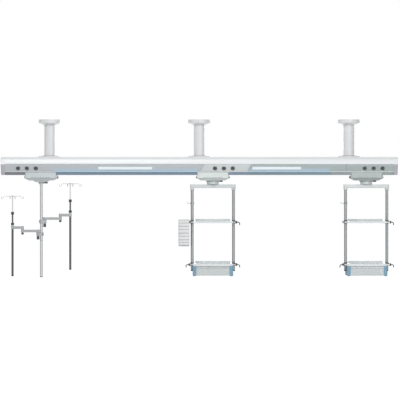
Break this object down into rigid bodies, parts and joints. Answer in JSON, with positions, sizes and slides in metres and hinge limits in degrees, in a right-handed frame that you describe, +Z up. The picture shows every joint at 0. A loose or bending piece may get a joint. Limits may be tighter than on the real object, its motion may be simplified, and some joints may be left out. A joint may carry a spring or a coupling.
{
  "type": "bed head unit",
  "caption": "Ceiling-hung supply beam with lamps and gas outlets, an infusion column with two jointed arms, and two equipment racks on sliding carriages.",
  "frame": {"origin": "centre of the middle column's ceiling plate, on its top face", "axes": "+Z up, +X along the beam to the right as seen from the front, -Y is the front"},
  "size_m": [4.9553, 0.4232, 1.975],
  "materials": {
    "white_lacquer": "satin white lacquer",
    "frame_aluminium": "light grey anodised",
    "panel_silver": "silver grey satin",
    "rail_aluminium": "dark blue-grey anodised",
    "cap_plastic": "satin grey",
    "diffuser": "opal",
    "night_light": "opal blue",
    "outlet_plastic": "dark grey with a light ring",
    "copper": "copper",
    "column_lacquer": "pale grey lacquer",
    "plain_steel": "zinc plated",
    "housing_plastic": "pale grey-green",
    "black_plastic": "black",
    "tube_steel": "satin steel",
    "arm_lacquer": "silver grey lacquer",
    "rod_chrome": "polished",
    "shelf_lacquer": "pale grey lacquer",
    "corner_blue": "blue",
    "drawer_lacquer": "pale grey lacquer",
    "basket_steel": "light grey coated"
  },
  "bodies": {
    "beam": {"beam_frame": "frame_aluminium", "fascia_covers": "white_lacquer", "front_panels": "panel_silver", "rear_panel": "panel_silver", "carriage_rails": "rail_aluminium", "end_caps": "cap_plastic", "lamp_diffusers": "diffuser", "night_light_strips": "night_light", "gas_outlets": "outlet_plastic", "gas_pipes": "copper", "ceiling_plates": "plain_steel", "ceiling_covers": "column_lacquer", "support_columns": "column_lacquer", "column_feet": "column_lacquer", "column_bolts": "plain_steel"},
    "left_carriage": {"left_trolley": "plain_steel", "left_housing": "housing_plastic"},
    "left_brake": {"left_brake_lever": "black_plastic"},
    "iv_column": {"column_head": "plain_steel", "iv_column_tube": "tube_steel", "column_end_cap": "black_plastic", "arm_clamps": "arm_lacquer"},
    "upper_inner": {"upper_inner_arm": "arm_lacquer", "upper_elbow_knob": "black_plastic"},
    "upper_outer": {"upper_outer_arm": "arm_lacquer", "upper_pole_tube": "tube_steel"},
    "upper_hooks": {"upper_pole_rod": "rod_chrome"},
    "upper_lock": {"upper_pole_knob": "black_plastic"},
    "lower_inner": {"lower_inner_arm": "arm_lacquer", "lower_elbow_knob": "black_plastic"},
    "lower_outer": {"lower_outer_arm": "arm_lacquer", "lower_pole_tube": "tube_steel"},
    "lower_hooks": {"lower_pole_rod": "rod_chrome"},
    "lower_lock": {"lower_pole_knob": "black_plastic"},
    "middle_carriage": {"middle_trolley": "plain_steel", "middle_housing": "housing_plastic"},
    "middle_brake": {"middle_brake_lever": "black_plastic"},
    "middle_rack": {"middle_rack_head": "arm_lacquer", "middle_rack_posts": "tube_steel", "middle_shelf_collars": "black_plastic", "middle_upper_shelf": "shelf_lacquer", "middle_lower_shelf": "shelf_lacquer", "middle_corner_posts": "corner_blue", "middle_side_rails": "tube_steel", "middle_post_hook": "tube_steel", "side_basket": "basket_steel"},
    "middle_tray": {"middle_drawer": "drawer_lacquer"},
    "right_carriage": {"right_trolley": "plain_steel", "right_housing": "housing_plastic"},
    "right_brake": {"right_brake_lever": "black_plastic"},
    "right_rack": {"right_rack_head": "arm_lacquer", "right_rack_posts": "tube_steel", "right_shelf_collars": "black_plastic", "right_upper_shelf": "shelf_lacquer", "right_lower_shelf": "shelf_lacquer", "right_corner_posts": "corner_blue", "right_side_rails": "tube_steel", "right_post_hook": "tube_steel"},
    "right_tray": {"right_drawer": "drawer_lacquer"}
  },
  "joints": [
    {"name": "left_carriage_slide", "type": "slide", "parent": "beam", "child": "left_carriage", "axis": [1, 0, 0], "range_m": [-0.2, 0.8]},
    {"name": "column_swivel", "type": "hinge", "parent": "left_carriage", "child": "iv_column", "pos_m": [-1.98, 0, -0.741], "axis": [0, 0, 1], "range_deg": [-160, 160]},
    {"name": "left_brake_turn", "type": "hinge", "parent": "left_carriage", "child": "left_brake", "pos_m": [-1.98, 0, -0.775], "axis": [0, 0, 1], "range_deg": [-30, 30]},
    {"name": "middle_carriage_slide", "type": "slide", "parent": "beam", "child": "middle_carriage", "axis": [1, 0, 0], "range_m": [-0.3, 0.3]},
    {"name": "middle_rack_swivel", "type": "hinge", "parent": "middle_carriage", "child": "middle_rack", "pos_m": [0.17, 0, -0.741], "axis": [0, 0, 1], "range_deg": [-160, 160]},
    {"name": "middle_brake_turn", "type": "hinge", "parent": "middle_carriage", "child": "middle_brake", "pos_m": [0.17, 0, -0.775], "axis": [0, 0, 1], "range_deg": [-30, 30]},
    {"name": "right_carriage_slide", "type": "slide", "parent": "beam", "child": "right_carriage", "axis": [1, 0, 0], "range_m": [-0.8, 0.1]},
    {"name": "right_rack_swivel", "type": "hinge", "parent": "right_carriage", "child": "right_rack", "pos_m": [2.093, 0, -0.741], "axis": [0, 0, 1], "range_deg": [-160, 160]},
    {"name": "right_brake_turn", "type": "hinge", "parent": "right_carriage", "child": "right_brake", "pos_m": [2.093, 0, -0.775], "axis": [0, 0, 1], "range_deg": [-30, 30]},
    {"name": "upper_arm_turn", "type": "hinge", "parent": "iv_column", "child": "upper_inner", "pos_m": [-1.938, 0, -1.2405], "axis": [0, 0, 1], "range_deg": [-90, 90]},
    {"name": "upper_elbow_turn", "type": "hinge", "parent": "upper_inner", "child": "upper_outer", "pos_m": [-1.743, 0, -1.198], "axis": [0, 0, 1], "range_deg": [-120, 120]},
    {"name": "upper_pole_lift", "type": "slide", "parent": "upper_outer", "child": "upper_hooks", "axis": [0, 0, 1], "range_m": [-0.15, 0]},
    {"name": "upper_lock_turn", "type": "hinge", "parent": "upper_outer", "child": "upper_lock", "pos_m": [-1.618, 0, -1.024], "axis": [0, 0, 1], "range_deg": [-90, 90]},
    {"name": "lower_arm_turn", "type": "hinge", "parent": "iv_column", "child": "lower_inner", "pos_m": [-2.022, 0, -1.3965], "axis": [0, 0, 1], "range_deg": [-90, 90]},
    {"name": "lower_elbow_turn", "type": "hinge", "parent": "lower_inner", "child": "lower_outer", "pos_m": [-2.217, 0, -1.354], "axis": [0, 0, 1], "range_deg": [-120, 120]},
    {"name": "lower_pole_lift", "type": "slide", "parent": "lower_outer", "child": "lower_hooks", "axis": [0, 0, 1], "range_m": [-0.15, 0.13]},
    {"name": "lower_lock_turn", "type": "hinge", "parent": "lower_outer", "child": "lower_lock", "pos_m": [-2.342, 0, -1.18], "axis": [0, 0, 1], "range_deg": [-90, 90]},
    {"name": "middle_drawer_slide", "type": "slide", "parent": "middle_rack", "child": "middle_tray", "axis": [0, -1, 0], "range_m": [0, 0.27]},
    {"name": "right_drawer_slide", "type": "slide", "parent": "right_rack", "child": "right_tray", "axis": [0, -1, 0], "range_m": [0, 0.27]}
  ]
}
